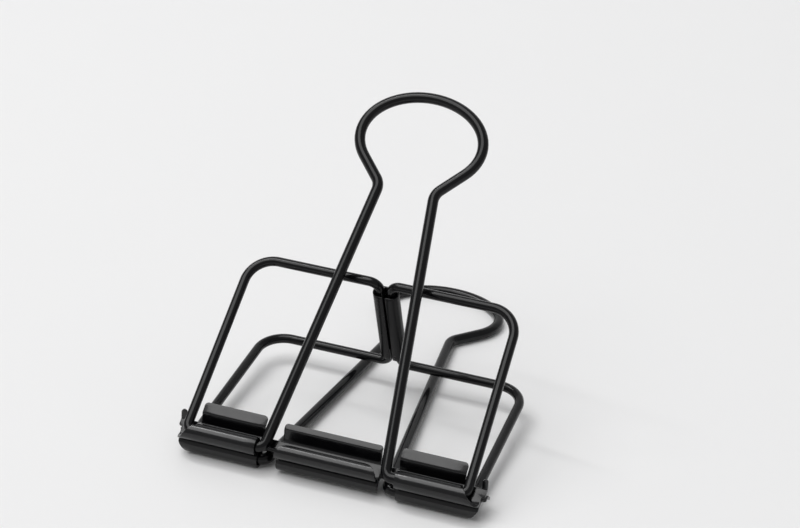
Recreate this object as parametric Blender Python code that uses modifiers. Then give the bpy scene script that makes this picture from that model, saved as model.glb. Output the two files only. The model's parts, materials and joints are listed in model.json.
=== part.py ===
"""Wire-frame binder clip, 52 mm jaws, lying on one side with both handles folded back.

Two bent spring wires stand side by side in a sheet sleeve at the spine. Each wire runs out
along an upper and a lower spine bar, turns a round corner and comes down a leg to the jaws.
Each jaw is one pressed strip whose front edge is rolled: two closed outer rolls hold the ends
of the frame wires and of the handle, and an open middle roll stiffens the lip. A squeeze on the
handles twists the spine bars, so the frames turn about the bars and the jaws part.

Clip frame: X along the jaws, Y from the jaws to the spine, Z square to the plane halfway
between the jaws. The whole clip is then tipped until its lower jaw and lower handle rest on Z=0.
"""

from math import acos, asin, atan2, ceil, cos, hypot, pi, radians, sin, tan

import bmesh
import bpy
from mathutils import Matrix, Vector

MM = 0.001

# Jaw strip
JAW_LENGTH = 52.0 * MM           # over the ears at its ends
SHEET = 0.35 * MM
ROLL_RADIUS = 1.50 * MM          # outside of the rolled lip
ROLL_END = radians(300)          # how far an outer roll is closed
MIDDLE_RADIUS = 1.31 * MM        # the middle roll is tighter
MIDDLE_CENTRE = 0.19 * MM        # lies a little further back
MIDDLE_ROLL_END = radians(225)   # and stays open
MIDDLE_FOOT = 2.30 * MM          # its round back wall starts here
MIDDLE_WALL = 1.50 * MM
MIDDLE_FLANGE = (3.86 * MM, 0.27 * MM)
MIDDLE_EDGE = (4.75 * MM, 0.35 * MM)
LIP_GAP = 0.20 * MM              # between the closed jaws
FLANGE_EDGE = (5.20 * MM, 0.35 * MM)
FLANGE_BEND = (3.45 * MM, 0.20 * MM)
SLOT_BACK = 2.20 * MM            # the flat strip that joins the rolls behind the slots
SLOT_FRONT = 0.80 * MM
MIDDLE_FLANGE_END = 8.30 * MM    # cut back behind the roll to clear the handle's legs
SLOT_INNER = 8.60 * MM
SLOT_OUTER = 11.80 * MM
FLANGE_INNER = 11.45 * MM        # the outer flanges reach past the rolls into the slots
NOTCH_INNER = 22.35 * MM
NOTCH_OUTER = 25.10 * MM         # the rolls end here, and a short ear stands outside it
NOTCH_ROLL_END = radians(210)    # the roll is cut back here to let the frame wire in
JAW_SLIP = 0.40 * MM             # both jaws have slid to the right along the frame wires

# Frame wires
FRAME_WIRE = 0.80 * MM           # radius
FRAME_DEPTH = 32.0 * MM          # roll axis to spine bar
SPINE_HALF_HEIGHT = 10.0 * MM    # spine bar above the middle plane
LEG_AT_JAW = 23.75 * MM
LEG_AT_SPINE = 23.10 * MM
FRAME_CORNER = 4.60 * MM
JAW_ELBOW = 1.30 * MM
FRAME_END = 17.40 * MM           # where a frame wire ends inside its roll
BAR_END = 3.20 * MM              # the twisting bar starts here
BRIDGE = 0.95 * MM               # wire axis either side of the centre
SPINE_BEND = 1.80 * MM
JOINT_GAP = 0.30 * MM

# Sleeve round the two wires
SLEEVE_LENGTH = 16.0 * MM
SLEEVE_WALL = 0.30 * MM
SLEEVE_CLEARANCE = 0.20 * MM
SLEEVE_SEAM = 0.40 * MM

# Handles
HANDLE_WIRE = 0.90 * MM          # radius
HANDLE_END = 16.40 * MM          # where a handle wire ends inside its roll
HANDLE_LEG = 10.30 * MM
HANDLE_ELBOW = 1.30 * MM
NECK = (4.75 * MM, 47.30 * MM)   # half width, distance from the roll axis
NECK_BEND = 2.60 * MM
LOOP_CENTRE = 55.90 * MM
LOOP_HALF_WIDTH = 10.50 * MM
LOOP_HALF_LENGTH = 7.70 * MM
UPPER_HANDLE_LIFT = radians(6.8)  # handle above its frame's plane, resting in its slots
LOWER_HANDLE_LIFT = radians(5.6)

ARC_STEP = radians(15)
LOOP_STEP = radians(10)
ROLL_STEP = radians(30)
WIRE_RESOLUTION = 3

JAW_OFFSET = ROLL_RADIUS + LIP_GAP / 2
SHEET_RADIUS = ROLL_RADIUS - SHEET / 2
HALF_ANGLE = asin((SPINE_HALF_HEIGHT - JAW_OFFSET) / FRAME_DEPTH)
SPINE_Y = FRAME_DEPTH * cos(HALF_ANGLE)
HANDLE_TIP = LOOP_CENTRE + LOOP_HALF_LENGTH
REST_ANGLE = asin((ROLL_RADIUS - HANDLE_WIRE) / HANDLE_TIP)
REST_TILT = HALF_ANGLE + LOWER_HANDLE_LIFT - REST_ANGLE

UPPER, LOWER = 1, -1
LEFT, RIGHT = -1, 1


def clear_scene():
    for item in list(bpy.data.objects):
        bpy.data.objects.remove(item, do_unlink=True)


def paint(name, colour, roughness):
    """Baked gloss paint on steel."""
    material = bpy.data.materials.new(name)
    material.use_nodes = True
    shader = material.node_tree.nodes["Principled BSDF"]
    shader.inputs["Base Color"].default_value = (*colour, 1.0)
    shader.inputs["Roughness"].default_value = roughness
    shader.inputs["Metallic"].default_value = 0.0
    return material


def add_empty(collection, name, parent, location, x_turn, y_turn=0.0):
    """A joint axis along X. Its Y points from the jaws to the spine, its Z outwards."""
    empty = bpy.data.objects.new(name, None)
    empty.empty_display_size = 5 * MM
    empty.parent = parent
    empty.location = location
    empty.rotation_euler = (x_turn, y_turn, 0)
    collection.objects.link(empty)
    return empty


def place(collection, data, name, parent, material):
    item = bpy.data.objects.new(name, data)
    item.parent = parent
    data.materials.append(material)
    collection.objects.link(item)
    return item


def fillet(before, corner, after, radius):
    """Points of an arc of the given radius that rounds one corner of a flat path."""
    a = (before - corner).normalized()
    b = (after - corner).normalized()
    turn = pi - a.angle(b)
    reach = radius * tan(turn / 2)
    middle = corner + (a + b).normalized() * hypot(radius, reach)
    first = corner + a * reach - middle
    last = corner + b * reach - middle
    steps = max(2, ceil(turn / ARC_STEP))
    return [middle + radius * first.slerp(last, i / steps) for i in range(steps + 1)]


def rounded_path(points, radii):
    """A path in the XY plane whose inner corners are rounded, each by its own radius."""
    path = [points[0]]
    for i, radius in enumerate(radii, start=1):
        path += fillet(points[i - 1], points[i], points[i + 1], radius)
    return path + [points[-1]]


def flat(x, y):
    return Vector((x, y, 0))


def wire_curve(name, path, radius):
    curve = bpy.data.curves.new(name, "CURVE")
    curve.dimensions = "3D"
    curve.twist_mode = "MINIMUM"
    curve.bevel_depth = radius
    curve.bevel_resolution = WIRE_RESOLUTION
    curve.use_fill_caps = True
    spline = curve.splines.new("POLY")
    spline.points.add(len(path) - 1)
    for point, place_at in zip(spline.points, path):
        point.co = (*place_at, 1)
    spline.use_smooth = True
    return curve


def frame_wire_path(side):
    """From inside the roll, round the elbow, up the leg, round the corner, along the bar.

    The path is in the frame's plane with the spine bar on the X axis.
    """
    jaw = -FRAME_DEPTH
    points = [
        flat(side * FRAME_END, jaw),
        flat(side * LEG_AT_JAW, jaw),
        flat(side * LEG_AT_SPINE, 0),
        flat(side * BAR_END, 0),
    ]
    return rounded_path(points, (JAW_ELBOW, FRAME_CORNER))


def spine_wire_path(side):
    """From one bar end, down through the sleeve, out to the other bar end."""
    stub = BAR_END - JOINT_GAP
    points = [
        Vector((side * stub, SPINE_Y, SPINE_HALF_HEIGHT)),
        Vector((side * BRIDGE, SPINE_Y, SPINE_HALF_HEIGHT)),
        Vector((side * BRIDGE, SPINE_Y, -SPINE_HALF_HEIGHT)),
        Vector((side * stub, SPINE_Y, -SPINE_HALF_HEIGHT)),
    ]
    return rounded_path(points, (SPINE_BEND, SPINE_BEND))


def handle_half_path():
    """The +X half of a handle, from its end inside the roll to the top of the loop."""
    neck = flat(*NECK)
    scaled = Vector(((neck.x / LOOP_HALF_WIDTH), (neck.y - LOOP_CENTRE) / LOOP_HALF_LENGTH))
    start = atan2(scaled.y, scaled.x) + acos(1 / scaled.length)

    def loop_point(angle):
        return flat(LOOP_HALF_WIDTH * cos(angle), LOOP_CENTRE + LOOP_HALF_LENGTH * sin(angle))

    points = [flat(HANDLE_END, 0), flat(HANDLE_LEG, 0), neck, loop_point(start)]
    path = rounded_path(points, (HANDLE_ELBOW, NECK_BEND))
    steps = ceil((pi / 2 - start) / LOOP_STEP)
    return path + [loop_point(start + (pi / 2 - start) * i / steps) for i in range(1, steps + 1)]


def handle_path():
    half = handle_half_path()
    other = [flat(-point.x, point.y) for point in reversed(half[:-1])]
    return half + other


def roll_section(radius, centre_y, end):
    """A roll from the flat strip round the front, as points in the YZ plane."""
    steps = ceil(end / ROLL_STEP)
    angles = [end * i / steps for i in range(steps + 1)]
    centre_z = radius - SHEET_RADIUS
    return [(centre_y - radius * sin(a), centre_z - radius * cos(a)) for a in angles]


def outer_section():
    """Flange, slope and flat strip from the back edge forwards, and the closed roll."""
    back = [FLANGE_EDGE, FLANGE_BEND, (SLOT_BACK, -SHEET_RADIUS), (SLOT_FRONT, -SHEET_RADIUS)]
    return back, roll_section(SHEET_RADIUS, 0.0, ROLL_END)


def middle_section():
    """A narrow flange and a round wall down to the flat strip, and the open roll."""
    wall = [
        (MIDDLE_FOOT + MIDDLE_WALL * sin(a), MIDDLE_WALL * (1 - cos(a)) - SHEET_RADIUS)
        for a in (radians(75), radians(50), radians(25), 0)
    ]
    strip = [(SLOT_BACK, -SHEET_RADIUS), (SLOT_FRONT, -SHEET_RADIUS)]
    back = [MIDDLE_EDGE, MIDDLE_FLANGE, *wall, *strip]
    return back, roll_section(MIDDLE_RADIUS - SHEET / 2, MIDDLE_CENTRE, MIDDLE_ROLL_END)


def add_strip(mesh, section, x_from, x_to):
    """A strip of sheet whose section runs along the list of YZ points."""
    sides = [[mesh.verts.new((x, y, z)) for y, z in section] for x in (x_from, x_to)]
    for i in range(len(section) - 1):
        mesh.faces.new((sides[0][i], sides[0][i + 1], sides[1][i + 1], sides[1][i]))


def jaw_mesh(name):
    """The pressed strip as an open surface; its roll axis is the X axis."""
    back, roll = outer_section()
    strip = back[-2:]
    notch = strip + roll[: ceil(NOTCH_ROLL_END / ROLL_STEP) + 1]
    ear = back[1:]
    middle_back, middle_roll = middle_section()

    mesh = bmesh.new()
    add_strip(mesh, middle_back + middle_roll, -MIDDLE_FLANGE_END, MIDDLE_FLANGE_END)
    for side in (LEFT, RIGHT):
        add_strip(mesh, strip + middle_roll, side * MIDDLE_FLANGE_END, side * SLOT_INNER)
        add_strip(mesh, strip, side * SLOT_INNER, side * FLANGE_INNER)
        add_strip(mesh, back, side * FLANGE_INNER, side * SLOT_OUTER)
        add_strip(mesh, back + roll, side * SLOT_OUTER, side * NOTCH_INNER)
        add_strip(mesh, notch, side * NOTCH_INNER, side * NOTCH_OUTER)
        add_strip(mesh, ear, side * NOTCH_OUTER, side * JAW_LENGTH / 2)
    bmesh.ops.remove_doubles(mesh, verts=mesh.verts, dist=0.00001)
    bmesh.ops.recalc_face_normals(mesh, faces=mesh.faces)
    data = bpy.data.meshes.new(name)
    mesh.to_mesh(data)
    mesh.free()
    return data


def thicken(item, thickness):
    solid = item.modifiers.new("sheet", "SOLIDIFY")
    solid.thickness = thickness
    solid.offset = 0
    solid.use_even_offset = True


def sleeve_mesh(name):
    """A flat-sided band with round ends and a narrow seam facing the jaws."""
    radius = FRAME_WIRE + SLEEVE_CLEARANCE + SLEEVE_WALL / 2
    steps = 8
    outline = [(SLEEVE_SEAM / 2, -radius)]
    for side, first in ((RIGHT, -pi / 2), (LEFT, pi / 2)):
        for i in range(steps + 1):
            angle = first + pi * i / steps
            outline.append((side * BRIDGE + radius * cos(angle), radius * sin(angle)))
    outline.append((-SLEEVE_SEAM / 2, -radius))
    mesh = bmesh.new()
    rings = [
        [mesh.verts.new((x, SPINE_Y + y, z)) for x, y in outline]
        for z in (-SLEEVE_LENGTH / 2, SLEEVE_LENGTH / 2)
    ]
    for i in range(len(outline) - 1):
        mesh.faces.new((rings[0][i], rings[0][i + 1], rings[1][i + 1], rings[1][i]))
    data = bpy.data.meshes.new(name)
    mesh.to_mesh(data)
    mesh.free()
    return data


def build_spine(collection, clip, black):
    sleeve = place(collection, sleeve_mesh("spine_sleeve"), "spine_sleeve", clip, black["sleeve"])
    thicken(sleeve, SLEEVE_WALL)
    for side, word in ((LEFT, "left"), (RIGHT, "right")):
        name = f"spine_wire_{word}"
        curve = wire_curve(name, spine_wire_path(side), FRAME_WIRE)
        place(collection, curve, name, clip, black[name])


def build_half(collection, clip, black, word, side, lift):
    """One frame with its jaw and handle. The lower half is the upper one turned over about Y."""
    over = 0.0 if side == UPPER else pi
    half = add_empty(collection, f"{word}_side", clip, (0, 0, 0), 0.0, over)
    hinge_at = (0, SPINE_Y, SPINE_HALF_HEIGHT)
    hinge = add_empty(collection, f"{word}_spine_axis", half, hinge_at, HALF_ANGLE)
    roll = add_empty(collection, f"{word}_roll_axis", hinge, (0, -FRAME_DEPTH, 0), 0.0)

    for wire_side, wire_word in ((LEFT, "left"), (RIGHT, "right")):
        name = f"{word}_{wire_word}_wire"
        curve = wire_curve(name, frame_wire_path(wire_side * side), FRAME_WIRE)
        place(collection, curve, name, hinge, black[name])

    jaw_name = f"{word}_jaw"
    jaw = place(collection, jaw_mesh(jaw_name), jaw_name, roll, black[jaw_name])
    jaw.location.x = side * JAW_SLIP
    thicken(jaw, SHEET)

    handle_name = f"{word}_handle"
    curve = wire_curve(handle_name, handle_path(), HANDLE_WIRE)
    handle = place(collection, curve, handle_name, roll, black[handle_name])
    handle.rotation_euler = (lift, 0, 0)


def world_box(items):
    """Lowest and highest corners of the evaluated objects."""
    graph = bpy.context.evaluated_depsgraph_get()
    points = []
    for item in items:
        shape = item.evaluated_get(graph)
        mesh = shape.to_mesh()
        points += [item.matrix_world @ vertex.co for vertex in mesh.vertices]
        shape.to_mesh_clear()
    low = Vector(min(p[i] for p in points) for i in range(3))
    high = Vector(max(p[i] for p in points) for i in range(3))
    return low, high


def stand_on_origin(clip, items):
    """Move the clip so that the middle of its box's base is the origin."""
    bpy.context.view_layer.update()
    low, high = world_box(items)
    clip.location -= Vector(((low.x + high.x) / 2, (low.y + high.y) / 2, low.z))
    bpy.context.view_layer.update()


def main():
    clear_scene()
    collection = bpy.data.collections.new("binder_clip")
    bpy.context.scene.collection.children.link(collection)
    names = ["sleeve", "spine_wire_left", "spine_wire_right"]
    for word in ("upper", "lower"):
        names += [f"{word}_{part}" for part in ("left_wire", "right_wire", "jaw", "handle")]
    gloss = {"jaw": 0.22, "handle": 0.28}
    black = {
        name: paint(f"{name}_paint", (0.012, 0.012, 0.014), gloss.get(name.split("_")[-1], 0.25))
        for name in names
    }
    clip = add_empty(collection, "clip", None, (0, 0, 0), REST_TILT)
    build_spine(collection, clip, black)
    build_half(collection, clip, black, "upper", UPPER, UPPER_HANDLE_LIFT)
    build_half(collection, clip, black, "lower", LOWER, LOWER_HANDLE_LIFT)
    stand_on_origin(clip, [item for item in collection.objects if item.type != "EMPTY"])


main()
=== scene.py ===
"""Looks of a wire-frame binder clip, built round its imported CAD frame.

Metres, in the frame's axes: X along the jaws, Y from the jaws to the handle tips, Z up.
Both halves of the clip are the same parts, so each piece is drawn once in a half's own axes
(x along the jaws, a from the jaws to the spine, n outwards) and placed by that half's joints.
"""

import json

from math import acos, asin, atan2, ceil, cos, hypot, pi, radians, sin, tan

import bmesh
import bpy
from mathutils import Matrix, Vector
from mathutils.geometry import delaunay_2d_cdt


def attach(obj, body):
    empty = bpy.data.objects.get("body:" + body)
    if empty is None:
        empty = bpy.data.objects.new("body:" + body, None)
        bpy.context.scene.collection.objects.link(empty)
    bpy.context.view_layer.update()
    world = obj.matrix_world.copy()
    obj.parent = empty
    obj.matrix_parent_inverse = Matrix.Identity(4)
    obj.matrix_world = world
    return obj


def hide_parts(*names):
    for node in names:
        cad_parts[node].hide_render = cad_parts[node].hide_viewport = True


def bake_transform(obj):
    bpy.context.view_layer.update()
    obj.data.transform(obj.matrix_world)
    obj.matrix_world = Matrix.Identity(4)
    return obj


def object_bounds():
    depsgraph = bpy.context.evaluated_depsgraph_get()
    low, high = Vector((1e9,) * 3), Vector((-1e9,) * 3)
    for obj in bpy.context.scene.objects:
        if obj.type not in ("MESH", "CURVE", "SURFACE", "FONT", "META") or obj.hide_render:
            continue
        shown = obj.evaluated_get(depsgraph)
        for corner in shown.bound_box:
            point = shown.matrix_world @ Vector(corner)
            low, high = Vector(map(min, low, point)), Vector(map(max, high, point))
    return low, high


MM = 0.001

# Jaws
JAW_LENGTH = 52.0 * MM
SHEET = 0.35 * MM
ROLL_RADIUS = 1.50 * MM
ROLL_TURN = radians(316)
TUCK_TURN = radians(70)          # the last of the roll winds inwards
TUCK = 0.12 * MM
FLANGE_EDGE = (5.20 * MM, 0.35 * MM)
FLANGE_BEND = (3.45 * MM, 0.20 * MM)
SLOPE_FOOT = 2.20 * MM           # the flat strip ends here, and the slope to the flange starts
MIDDLE_RADIUS = 1.31 * MM
MIDDLE_CENTRE = 0.19 * MM
MIDDLE_TURN = radians(228)
MIDDLE_FOOT = 1.80 * MM
MIDDLE_WALL = 1.50 * MM
MIDDLE_WALL_TURN = radians(48)
MIDDLE_FLANGE = (3.86 * MM, 0.27 * MM)
MIDDLE_EDGE = (4.75 * MM, 0.35 * MM)
SLOT_FRONT = 0.80 * MM
MIDDLE_FLANGE_END = 8.30 * MM    # cut back behind the roll to clear the handle's legs
FLANGE_INNER = 11.45 * MM
SLOT_INNER = 8.60 * MM
SLOT_OUTER = 11.80 * MM
NOTCH_INNER = 22.35 * MM
NOTCH_OUTER = 25.10 * MM
NOTCH_TURN = radians(205)
PRESS_BEND = 0.45 * MM           # radius of the pressed bends in the sheet
CUT_CORNER = 0.25 * MM           # radius of the corners cut in the sheet
LIP_CORNER = 2.40 * MM           # the open lip's corners are cut round
TAB_LENGTH = 1.70 * MM
EAR_ROOT = -0.90 * MM            # along the sheet, where the ear starts
ROLL_EDGE = 25.40 * MM           # half the rolls' length
END_CUT = 1.40 * MM              # from here round the roll, its end is cut aslant
END_CORNER = 1.00 * MM
NOTCH_LEAD = 0.50 * MM           # the slanting cut ends this far outside the notch
NOTCH_LEAD_CORNER = 0.40 * MM
NOTCH_CORNER = 0.10 * MM
FLANGE_CORNER = 0.60 * MM
MIDDLE_FLANGE_CORNER = 0.50 * MM
MIDDLE_FLANGE_BEND = 0.20 * MM
JAW_SLIP = 0.40 * MM             # both jaws have slid to the right along the frame wires
TAB_CORNER = 0.42 * MM
EDGE_ROUND = 0.07 * MM           # paint rounds every cut edge
EDGE_SEGMENTS = 2
ROLL_STEP = radians(7.5)
PRESS_STEP = radians(10)
MIDDLE_PRESS_STEP = radians(12)
CUT_STEP = radians(22.5)
WALL_STEPS = 10
JAW_COLUMNS = 17
MERGE_DISTANCE = 1e-7

# Wires
FRAME_WIRE = 0.80 * MM
HANDLE_WIRE = 0.90 * MM
LEG_AT_JAW = 23.75 * MM
LEG_AT_SPINE = 23.10 * MM
FRAME_CORNER = 4.60 * MM
JAW_ELBOW = 1.30 * MM
FRAME_END = 17.40 * MM
BRIDGE = 0.95 * MM
SPINE_BEND = 1.80 * MM
HANDLE_END = 16.40 * MM
HANDLE_LEG = 10.30 * MM
HANDLE_ELBOW = 1.30 * MM
NECK = (4.75 * MM, 47.30 * MM)
NECK_BEND = 2.60 * MM
LOOP_CENTRE = 55.90 * MM
LOOP_HALF_WIDTH = 10.50 * MM
LOOP_HALF_LENGTH = 7.70 * MM
UPPER_HANDLE_LIFT = radians(6.8)
LOWER_HANDLE_LIFT = radians(5.6)

# Sleeve
SLEEVE_LENGTH = 16.0 * MM
SLEEVE_WALL = 0.30 * MM
SLEEVE_CLEARANCE = 0.20 * MM
SLEEVE_SEAM = 0.40 * MM

JAW_OFFSET = 1.60 * MM
SHEET_RADIUS = ROLL_RADIUS - SHEET / 2
ARC_STEP = radians(5)
WIRE_SIDES = 28
WIRE_CHAMFER = 0.18 * MM
BODY_WIRE_SPACING = 0.8 * MM     # longest stretch between two rings of a wire
HANDLE_SPACING = 0.9 * MM
SLEEVE_ARC_STEPS = 16
SLEEVE_LEVELS = 24
WIRE_SHARP = radians(50)         # edges sharper than this stay sharp
SHEET_SHARP = radians(40)
BEVEL_FROM = radians(50)

# Camera, from the photograph's viewing angle
CAMERA_AT = Vector((0.1143, -0.3380, 0.2244))
CAMERA_LENS = 112.0
AIM_DROP = 0.20 * MM             # the camera aims this far below the middle of the clip's box
CAMERA_ROLL = radians(2.5)

# Paint
BLACK = (0.0030, 0.0030, 0.0036)
WORN = 3.2                       # worn specks are this many times brighter
COAT = 0.22
COAT_ROUGHNESS = 0.04
ROUGHNESS_SPREAD = 0.12
PEEL_STRENGTH = 0.16
PEEL_HEIGHT = 0.04 * MM

# Table and light
TABLE_HALF_WIDTH = 2.2
TABLE_FRONT = -1.2
TABLE_BACK = 0.9
TABLE_CURVE = 0.5                # radius of the curve from the table up to the wall
CURVE_STEPS = 12
WALL_TOP = 1.6
WORLD_STRENGTH = 0.36
KEY_AT = (-0.75, -0.45, 2.40)
KEY_SIZE = (2.1, 2.1)
KEY_POWER = 44.0
STREAK_AT = (-0.55, 0.10, 0.95)  # a narrow light draws thin bright lines on the wires
STREAK_SIZE = (0.05, 0.60)
STREAK_POWER = 1.8


class Half:
    """One half's own axes at rest, read from its two joints."""

    def __init__(self, word, lift):
        joints = {joint["name"]: joint for joint in frame["joints"]}
        pivot = joints[f"{word}_handle_pivot"]
        hinge = joints[f"{word}_frame_hinge"]
        self.word = word
        self.roll = Vector(pivot["pos_m"])
        self.bar = Vector(hinge["pos_m"])
        x = Vector(pivot["axis"])
        a = (self.bar - self.roll).normalized()
        self.depth = (self.bar - self.roll).length
        turned = Matrix((x, a, x.cross(a))).transposed().to_4x4()
        self.wires = Matrix.Translation(self.roll) @ turned
        self.jaw = Matrix.Translation((JAW_SLIP, 0, 0)) @ self.wires
        self.handle = self.wires @ Matrix.Rotation(lift, 4, "X")


def vec(x, a, n=0.0):
    return Vector((x, a, n))


def fillet(before, corner, after, radius, step=ARC_STEP):
    """Points of an arc of the given radius that rounds one corner."""
    a = (before - corner).normalized()
    b = (after - corner).normalized()
    turn = pi - a.angle(b)
    reach = radius * tan(turn / 2)
    middle = corner + (a + b).normalized() * hypot(radius, reach)
    first = corner + a * reach - middle
    last = corner + b * reach - middle
    steps = max(2, ceil(turn / step))
    return [middle + radius * first.slerp(last, i / steps) for i in range(steps + 1)]


def rounded_path(points, radii, step=ARC_STEP):
    path = [points[0]]
    for i, radius in enumerate(radii, start=1):
        path += fillet(points[i - 1], points[i], points[i + 1], radius, step)
    return path + [points[-1]]


def even_path(path, spacing):
    """The same path with extra points, so that no stretch is longer than the spacing."""
    dense = [path[0]]
    for start, end in zip(path, path[1:]):
        steps = max(1, ceil((end - start).length / spacing))
        dense += [start.lerp(end, i / steps) for i in range(1, steps + 1)]
    return dense


def add_object(name, mesh_data, material, placing=None):
    """A piece whose vertices are in the frame's own axes."""
    if placing is not None:
        mesh_data.transform(placing)
    item = bpy.data.objects.new(name, mesh_data)
    bpy.context.scene.collection.objects.link(item)
    mesh_data.materials.append(material)
    return item


def applied(item):
    """The item with its modifiers turned into mesh."""
    graph = bpy.context.evaluated_depsgraph_get()
    baked = bpy.data.meshes.new_from_object(item.evaluated_get(graph))
    item.modifiers.clear()
    item.data = baked
    return item


# ---------------------------------------------------------------- wires


def wire_mesh(name, path, radius):
    """A round wire swept along a path, with softly broken ends."""
    tangents = []
    for i in range(len(path)):
        before = path[max(i - 1, 0)]
        after = path[min(i + 1, len(path) - 1)]
        tangents.append((after - before).normalized())
    side = tangents[0].orthogonal().normalized()
    stations = [(path[0], tangents[0], 0.0), (path[0], tangents[0], radius - WIRE_CHAMFER)]
    stations.append((path[0] + tangents[0] * WIRE_CHAMFER, tangents[0], radius))
    stations += [(path[i], tangents[i], radius) for i in range(1, len(path) - 1)]
    stations.append((path[-1] - tangents[-1] * WIRE_CHAMFER, tangents[-1], radius))
    stations += [(path[-1], tangents[-1], radius - WIRE_CHAMFER), (path[-1], tangents[-1], 0.0)]

    mesh = bmesh.new()
    rings = []
    for centre, tangent, size in stations:
        side = (side - tangent * side.dot(tangent)).normalized()
        up = tangent.cross(side)
        if size == 0.0:
            rings.append([mesh.verts.new(centre)])
            continue
        ring = []
        for k in range(WIRE_SIDES):
            angle = 2 * pi * k / WIRE_SIDES
            ring.append(mesh.verts.new(centre + size * (side * cos(angle) + up * sin(angle))))
        rings.append(ring)
    for near, far in zip(rings, rings[1:]):
        for k in range(WIRE_SIDES):
            after = (k + 1) % WIRE_SIDES
            if len(near) == 1:
                mesh.faces.new((near[0], far[after], far[k]))
            elif len(far) == 1:
                mesh.faces.new((near[k], near[after], far[0]))
            else:
                mesh.faces.new((near[k], near[after], far[after], far[k]))
    bmesh.ops.recalc_face_normals(mesh, faces=mesh.faces)
    data = bpy.data.meshes.new(name)
    mesh.to_mesh(data)
    mesh.free()
    data.shade_smooth()
    data.set_sharp_from_angle(angle=WIRE_SHARP)
    return data


def body_wire_path(half, side):
    """From the middle of the sleeve, out along the spine bar, down the leg into the roll."""
    depth = half.depth
    spine_half_height = depth * sin(half_angle) + JAW_OFFSET
    into_sleeve = vec(0, -sin(half_angle), -cos(half_angle))
    points = [
        vec(side * BRIDGE, depth) + into_sleeve * spine_half_height,
        vec(side * BRIDGE, depth),
        vec(side * LEG_AT_SPINE, depth),
        vec(side * LEG_AT_JAW, 0),
        vec(side * FRAME_END, 0),
    ]
    return rounded_path(points, (SPINE_BEND, FRAME_CORNER, JAW_ELBOW))


def make_body_wire(half, side, material):
    """Half of one body wire."""
    hand = "right" if (side > 0) == (half.word == "upper") else "left"
    name = f"{half.word}_{hand}_body_wire"
    path = even_path(body_wire_path(half, side), BODY_WIRE_SPACING)
    wire = add_object(name, wire_mesh(name, path, FRAME_WIRE), material, half.wires)
    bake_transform(wire)
    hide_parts(f"{half.word}_{hand}_wire", f"spine_wire_{hand}")
    return wire


def handle_half_path():
    """The +x half of a handle, from its end inside the roll to the top of the loop."""
    neck = vec(*NECK)
    scaled = Vector((neck.x / LOOP_HALF_WIDTH, (neck.y - LOOP_CENTRE) / LOOP_HALF_LENGTH))
    start = atan2(scaled.y, scaled.x) + acos(1 / scaled.length)

    def loop_point(angle):
        return vec(LOOP_HALF_WIDTH * cos(angle), LOOP_CENTRE + LOOP_HALF_LENGTH * sin(angle))

    points = [vec(HANDLE_END, 0), vec(HANDLE_LEG, 0), neck, loop_point(start)]
    path = rounded_path(points, (HANDLE_ELBOW, NECK_BEND))
    steps = ceil((pi / 2 - start) / ARC_STEP)
    return path + [loop_point(start + (pi / 2 - start) * i / steps) for i in range(1, steps + 1)]


def make_handle(half, material):
    name = f"{half.word}_handle_wire"
    right = handle_half_path()
    left = [vec(-point.x, point.y) for point in reversed(right[:-1])]
    path = even_path(right + left, HANDLE_SPACING)
    handle = add_object(name, wire_mesh(name, path, HANDLE_WIRE), material, half.handle)
    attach(handle, f"{half.word}_handle")
    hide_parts(f"{half.word}_handle")
    return handle


# ---------------------------------------------------------------- jaws


class Profile:
    """A jaw's cross-section as a line that the flat sheet is laid along.

    s is the distance along the sheet, 0 where the roll starts on the flat strip, growing
    round the roll, and negative back towards the flange.
    """

    def __init__(self, back, roll):
        line = list(reversed(back)) + roll
        zero = len(back)
        lengths = [0.0]
        for start, end in zip(line, line[1:]):
            lengths.append(lengths[-1] + (end - start).length)
        self.points = line
        self.at = [length - lengths[zero] for length in lengths]

    def lay(self, s):
        """The point (a, n) on the section at s, carried on straight beyond its ends."""
        i = 1
        while i < len(self.at) - 1 and self.at[i] < s:
            i += 1
        span = self.at[i] - self.at[i - 1]
        return self.points[i - 1].lerp(self.points[i], (s - self.at[i - 1]) / span)


def roll_points(radius, centre_a, turn, tuck=0.0):
    """The roll's line from the flat strip round, its last part wound in by the tuck."""
    steps = ceil(turn / ROLL_STEP)
    points = []
    for i in range(steps + 1):
        angle = turn * i / steps
        wound = max(0.0, angle - (turn - TUCK_TURN)) / TUCK_TURN
        size = radius - tuck * wound * wound * (3 - 2 * wound)
        points.append(
            Vector((centre_a - size * sin(angle), radius - SHEET_RADIUS - size * cos(angle), 0))
        )
    return points


def flat_point(pair):
    return Vector((pair[0], pair[1], 0))


def outer_profile():
    """Flange, slope, flat strip and closed roll."""
    bottom = -SHEET_RADIUS
    corners = [
        flat_point((0.0, bottom)),
        flat_point((SLOPE_FOOT, bottom)),
        flat_point(FLANGE_BEND),
        flat_point(FLANGE_EDGE),
    ]
    line = rounded_path(corners, (PRESS_BEND, PRESS_BEND), PRESS_STEP)
    return Profile(line[1:], roll_points(SHEET_RADIUS, 0.0, ROLL_TURN, TUCK))


def middle_profile():
    """Narrow flange, round wall, flat strip and open roll."""
    bottom = -SHEET_RADIUS
    wall = []
    for i in range(WALL_STEPS + 1):
        angle = MIDDLE_WALL_TURN * i / WALL_STEPS
        a = MIDDLE_FOOT + MIDDLE_WALL * sin(angle)
        wall.append(Vector((a, bottom + MIDDLE_WALL * (1 - cos(angle)), 0)))
    corner = flat_point(MIDDLE_FLANGE)
    edge = flat_point(MIDDLE_EDGE)
    bend = fillet(wall[-1], corner, edge, MIDDLE_FLANGE_BEND, MIDDLE_PRESS_STEP)
    line = wall[:-1] + bend + [edge]
    return Profile(line, roll_points(MIDDLE_RADIUS - SHEET / 2, MIDDLE_CENTRE, MIDDLE_TURN))


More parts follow.
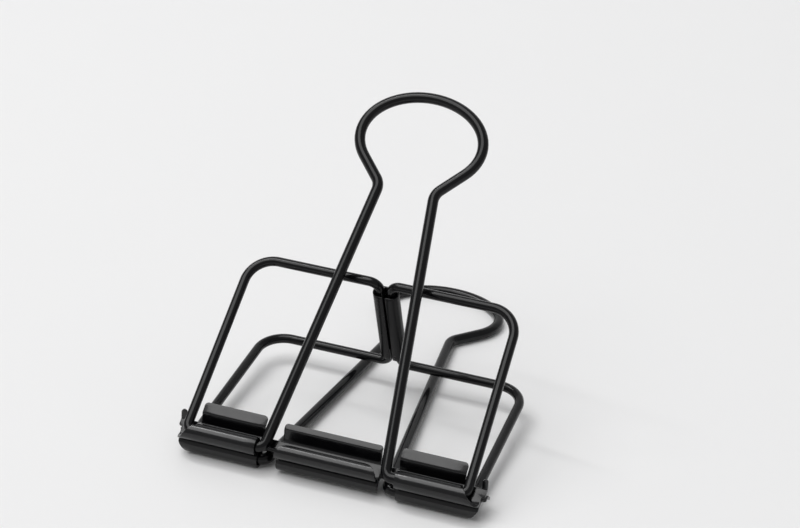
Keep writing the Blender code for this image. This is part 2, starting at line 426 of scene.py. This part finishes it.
def blank_outline(outer, middle):
    """The flat sheet's outline in (x, s), +x half, from the middle of its back edge round."""
    flange = outer.at[0]
    tube_end = outer.at[-1]
    middle_flange = middle.at[0] - MIDDLE_CENTRE
    middle_end = middle.at[-1] - MIDDLE_CENTRE
    strip_back = -SLOPE_FOOT
    strip_front = -SLOT_FRONT
    notch_end = SHEET_RADIUS * NOTCH_TURN
    tab_back = strip_back - TAB_LENGTH
    end = JAW_LENGTH / 2
    corners = [
        (MIDDLE_FLANGE_END, middle_flange, MIDDLE_FLANGE_CORNER),
        (MIDDLE_FLANGE_END, strip_back, CUT_CORNER),
        (FLANGE_INNER, strip_back, CUT_CORNER),
        (FLANGE_INNER, flange, FLANGE_CORNER),
        (NOTCH_INNER, flange, FLANGE_CORNER),
        (NOTCH_INNER, strip_back, CUT_CORNER),
        (NOTCH_OUTER, strip_back, CUT_CORNER),
        (NOTCH_OUTER, tab_back, TAB_CORNER),
        (end, tab_back, TAB_CORNER),
        (end, EAR_ROOT, CUT_CORNER),
        (ROLL_EDGE, EAR_ROOT, CUT_CORNER),
        (ROLL_EDGE, END_CUT, END_CORNER),
        (NOTCH_INNER + NOTCH_LEAD, notch_end, NOTCH_LEAD_CORNER),
        (NOTCH_INNER, notch_end, NOTCH_CORNER),
        (NOTCH_INNER, tube_end, CUT_CORNER),
        (SLOT_OUTER, tube_end, CUT_CORNER),
        (SLOT_OUTER, strip_front, CUT_CORNER),
        (SLOT_INNER, strip_front, CUT_CORNER),
        (SLOT_INNER, middle_end, LIP_CORNER),
    ]
    points = [vec(0, middle_flange), *(vec(x, at) for x, at, _ in corners), vec(0, middle_end)]
    return rounded_path(points, [radius for _, _, radius in corners], CUT_STEP)[1:-1]


def jaw_mesh(name):
    """The pressed sheet: a flat blank, meshed along the section's lines, then laid round it."""
    outer = outer_profile()
    middle = middle_profile()
    half_outline = blank_outline(outer, middle)
    outline = half_outline + [vec(-point.x, point.y) for point in reversed(half_outline)]
    split = (SLOT_INNER + SLOT_OUTER) / 2
    rows = set()
    for at in outer.at:
        rows.add(round(at, 6))
    for at in middle.at:
        rows.add(round(at - MIDDLE_CENTRE, 6))
    points = [Vector((point.x, point.y)) for point in outline]
    edges = []

    def add_line(start, end):
        points.append(Vector(start))
        points.append(Vector(end))
        edges.append((len(points) - 2, len(points) - 1))

    reach = JAW_LENGTH / 2 + MM
    for row in sorted(rows):
        add_line((-reach, row), (reach, row))
    top = max(rows) + MM
    bottom = min(rows) - MM
    for i in range(1, JAW_COLUMNS):
        x = JAW_LENGTH * (i / JAW_COLUMNS - 0.5)
        add_line((x, bottom), (x, top))
    found = delaunay_2d_cdt(points, edges, [list(range(len(outline)))], 0, MERGE_DISTANCE)
    flat_points, _, triangles, _, _, sources = found
    mesh = bmesh.new()
    verts = []
    for point in flat_points:
        inside = abs(point.x) < split
        a, n, _ = middle.lay(point.y + MIDDLE_CENTRE) if inside else outer.lay(point.y)
        verts.append(mesh.verts.new((point.x, a, n)))
    for triangle, source in zip(triangles, sources):
        if source:
            mesh.faces.new([verts[i] for i in triangle])
    loose = [vert for vert in mesh.verts if not vert.link_faces]
    bmesh.ops.delete(mesh, geom=loose, context="VERTS")
    bmesh.ops.recalc_face_normals(mesh, faces=mesh.faces)
    data = bpy.data.meshes.new(name)
    mesh.to_mesh(data)
    mesh.free()
    return data


def round_edges(item):
    bevel = item.modifiers.new("paint_edge", "BEVEL")
    bevel.width = EDGE_ROUND
    bevel.segments = EDGE_SEGMENTS
    bevel.limit_method = "ANGLE"
    bevel.angle_limit = BEVEL_FROM
    bevel.use_clamp_overlap = True


def make_jaw(half, material):
    name = f"{half.word}_jaw_sheet"
    jaw = add_object(name, jaw_mesh(name), material, half.jaw)
    solid = jaw.modifiers.new("sheet", "SOLIDIFY")
    solid.thickness = SHEET
    solid.offset = 0
    solid.use_even_offset = True
    round_edges(jaw)
    applied(jaw)
    jaw.data.shade_smooth()
    jaw.data.set_sharp_from_angle(angle=SHEET_SHARP)
    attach(jaw, f"{half.word}_frame")
    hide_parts(f"{half.word}_jaw")
    return jaw


# ---------------------------------------------------------------- sleeve


def make_sleeve(upper, lower, material):
    """A flat-sided band round the two body wires, its seam facing the jaws."""
    radius = FRAME_WIRE + SLEEVE_CLEARANCE + SLEEVE_WALL / 2
    outline = [(SLEEVE_SEAM / 2, -radius)]
    for side, first in ((1, -pi / 2), (-1, pi / 2)):
        for i in range(SLEEVE_ARC_STEPS + 1):
            angle = first + pi * i / SLEEVE_ARC_STEPS
            outline.append((side * BRIDGE + radius * cos(angle), radius * sin(angle)))
    outline.append((-SLEEVE_SEAM / 2, -radius))
    centre = (upper.bar + lower.bar) / 2
    z = (upper.bar - lower.bar).normalized()
    x = Vector((1, 0, 0))
    placing = Matrix.Translation(centre) @ Matrix((x, z.cross(x), z)).transposed().to_4x4()
    mesh = bmesh.new()
    rings = []
    for level in range(SLEEVE_LEVELS + 1):
        height = SLEEVE_LENGTH * (level / SLEEVE_LEVELS - 0.5)
        rings.append([mesh.verts.new((px, py, height)) for px, py in outline])
    for low, high in zip(rings, rings[1:]):
        for i in range(len(outline) - 1):
            mesh.faces.new((low[i], low[i + 1], high[i + 1], high[i]))
    data = bpy.data.meshes.new("sleeve_band")
    mesh.to_mesh(data)
    mesh.free()
    sleeve = add_object("sleeve_band", data, material, placing)
    solid = sleeve.modifiers.new("sheet", "SOLIDIFY")
    solid.thickness = SLEEVE_WALL
    solid.offset = 0
    solid.use_even_offset = True
    round_edges(sleeve)
    applied(sleeve)
    sleeve.data.shade_smooth()
    sleeve.data.set_sharp_from_angle(angle=SHEET_SHARP)
    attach(sleeve, "spine")
    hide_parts("spine_sleeve")
    return sleeve


# ---------------------------------------------------------------- materials


def new_material(name):
    material = bpy.data.materials.new(name)
    material.use_nodes = True
    tree = material.node_tree
    return material, tree, tree.nodes["Principled BSDF"]


def gloss_paint(name, shine, roughness, grain, wear):
    """Stoved gloss paint: dark, slightly uneven, with fine orange peel and small worn specks."""
    material, tree, shader = new_material(name)
    nodes, links = tree.nodes, tree.links
    shader.inputs["Metallic"].default_value = 0.0
    shader.inputs["Specular IOR Level"].default_value = shine
    shader.inputs["Coat Weight"].default_value = COAT
    shader.inputs["Coat Roughness"].default_value = COAT_ROUGHNESS
    where = nodes.new("ShaderNodeTexCoord")

    cloud = nodes.new("ShaderNodeTexNoise")
    cloud.inputs["Scale"].default_value = 420.0
    cloud.inputs["Detail"].default_value = 3.0
    links.new(where.outputs["Object"], cloud.inputs["Vector"])
    rough = nodes.new("ShaderNodeMapRange")
    rough.inputs["From Min"].default_value = 0.35
    rough.inputs["From Max"].default_value = 0.70
    rough.inputs["To Min"].default_value = roughness
    rough.inputs["To Max"].default_value = roughness + ROUGHNESS_SPREAD
    links.new(cloud.outputs["Fac"], rough.inputs["Value"])
    links.new(rough.outputs["Result"], shader.inputs["Roughness"])

    tint = nodes.new("ShaderNodeMix")
    tint.data_type = "RGBA"
    tint.inputs["A"].default_value = (*BLACK, 1)
    tint.inputs["B"].default_value = (*[WORN * part for part in BLACK], 1)
    specks = nodes.new("ShaderNodeTexNoise")
    specks.inputs["Scale"].default_value = 5200.0
    specks.inputs["Detail"].default_value = 2.0
    links.new(where.outputs["Object"], specks.inputs["Vector"])
    rare = nodes.new("ShaderNodeMapRange")
    rare.inputs["From Min"].default_value = 0.66
    rare.inputs["From Max"].default_value = 0.78
    links.new(specks.outputs["Fac"], rare.inputs["Value"])
    worn = nodes.new("ShaderNodeMath")
    worn.operation = "MULTIPLY"
    worn.inputs[1].default_value = wear
    links.new(rare.outputs["Result"], worn.inputs[0])
    links.new(worn.outputs["Value"], tint.inputs["Factor"])
    links.new(tint.outputs["Result"], shader.inputs["Base Color"])

    peel = nodes.new("ShaderNodeTexNoise")
    peel.inputs["Scale"].default_value = grain
    peel.inputs["Detail"].default_value = 2.0
    links.new(where.outputs["Object"], peel.inputs["Vector"])
    bump = nodes.new("ShaderNodeBump")
    bump.inputs["Strength"].default_value = PEEL_STRENGTH
    bump.inputs["Distance"].default_value = PEEL_HEIGHT
    links.new(peel.outputs["Fac"], bump.inputs["Height"])
    links.new(bump.outputs["Normal"], shader.inputs["Normal"])
    return material


def floor_material():
    material, tree, shader = new_material("table_white")
    nodes, links = tree.nodes, tree.links
    shader.inputs["Specular IOR Level"].default_value = 0.3
    where = nodes.new("ShaderNodeTexCoord")
    cloud = nodes.new("ShaderNodeTexNoise")
    cloud.inputs["Scale"].default_value = 9.0
    links.new(where.outputs["Object"], cloud.inputs["Vector"])
    shade = nodes.new("ShaderNodeMix")
    shade.data_type = "RGBA"
    shade.inputs["A"].default_value = (0.815, 0.815, 0.82, 1)
    shade.inputs["B"].default_value = (0.83, 0.83, 0.83, 1)
    links.new(cloud.outputs["Fac"], shade.inputs["Factor"])
    links.new(shade.outputs["Result"], shader.inputs["Base Color"])
    shader.inputs["Roughness"].default_value = 0.45
    return material


# ---------------------------------------------------------------- stage


def make_stage():
    """A pale table that curves up far behind the clip."""
    mesh = bmesh.new()
    profile = [(TABLE_FRONT, 0.0), (TABLE_BACK, 0.0)]
    for i in range(1, CURVE_STEPS + 1):
        angle = radians(90) * i / CURVE_STEPS
        profile.append((TABLE_BACK + TABLE_CURVE * sin(angle), TABLE_CURVE * (1 - cos(angle))))
    profile.append((TABLE_BACK + TABLE_CURVE, WALL_TOP))
    sides = (-TABLE_HALF_WIDTH, TABLE_HALF_WIDTH)
    rows = [[mesh.verts.new((x, y, z)) for x in sides] for y, z in profile]
    for near, far in zip(rows, rows[1:]):
        mesh.faces.new((near[0], near[1], far[1], far[0]))
    data = bpy.data.meshes.new("table")
    mesh.to_mesh(data)
    mesh.free()
    data.shade_smooth()
    table = add_object("table", data, floor_material())


def area_light(name, at, aim, size, power):
    light = bpy.data.lights.new(name, "AREA")
    light.shape = "RECTANGLE"
    light.size, light.size_y = size
    light.energy = power
    item = bpy.data.objects.new(name, light)
    item.location = at
    item.rotation_euler = (Vector(aim) - Vector(at)).to_track_quat("-Z", "Y").to_euler()
    bpy.context.scene.collection.objects.link(item)


def make_lights():
    world = bpy.data.worlds.new("studio")
    world.use_nodes = True
    background = world.node_tree.nodes["Background"]
    background.inputs["Color"].default_value = (1, 1, 1, 1)
    background.inputs["Strength"].default_value = WORLD_STRENGTH
    bpy.context.scene.world = world
    area_light("key", KEY_AT, (0, 0, 0), KEY_SIZE, KEY_POWER)
    area_light("streak", STREAK_AT, (0, 0, 0), STREAK_SIZE, STREAK_POWER)


def true_tones():
    """Shows the paint's black and the table's white as they are, with no film curve."""
    bpy.context.scene.view_settings.view_transform = "Standard"


def make_camera(aim):
    data = bpy.data.cameras.new("camera")
    data.lens = CAMERA_LENS
    data.sensor_width = 36.0
    data.clip_start = 0.01
    camera = bpy.data.objects.new("camera", data)
    turned = (aim - CAMERA_AT).to_track_quat("-Z", "Y").to_matrix().to_4x4()
    camera.matrix_world = Matrix.Translation(CAMERA_AT) @ turned @ Matrix.Rotation(CAMERA_ROLL, 4, "Z")
    bpy.context.scene.collection.objects.link(camera)
    bpy.context.scene.camera = camera


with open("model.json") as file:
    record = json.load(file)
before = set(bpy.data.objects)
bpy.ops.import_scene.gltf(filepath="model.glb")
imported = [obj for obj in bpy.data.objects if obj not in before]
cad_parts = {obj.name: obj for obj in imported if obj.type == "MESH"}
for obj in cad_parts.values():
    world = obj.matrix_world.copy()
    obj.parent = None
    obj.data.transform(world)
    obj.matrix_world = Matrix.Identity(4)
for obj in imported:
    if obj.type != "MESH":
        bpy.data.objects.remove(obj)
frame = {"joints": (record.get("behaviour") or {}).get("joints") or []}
cad_low, cad_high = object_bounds()

upper = Half("upper", UPPER_HANDLE_LIFT)
lower = Half("lower", LOWER_HANDLE_LIFT)
half_angle = asin(((upper.bar - lower.bar).length / 2 - JAW_OFFSET) / upper.depth)

wire_paint = gloss_paint("wire_paint", 0.17, 0.14, 2600.0, 0.5)
handle_paint = gloss_paint("handle_paint", 0.17, 0.15, 2600.0, 0.5)
jaw_paint = gloss_paint("jaw_paint", 0.36, 0.15, 1900.0, 0.6)
sleeve_paint = gloss_paint("sleeve_paint", 0.07, 0.26, 2300.0, 0.7)

make_sleeve(upper, lower, sleeve_paint)
for half in (upper, lower):
    for side in (1, -1):
        make_body_wire(half, side, wire_paint)
    make_jaw(half, jaw_paint)
    make_handle(half, handle_paint)

make_stage()
make_lights()
true_tones()
make_camera((cad_low + cad_high) / 2 - Vector((0, 0, AIM_DROP)))
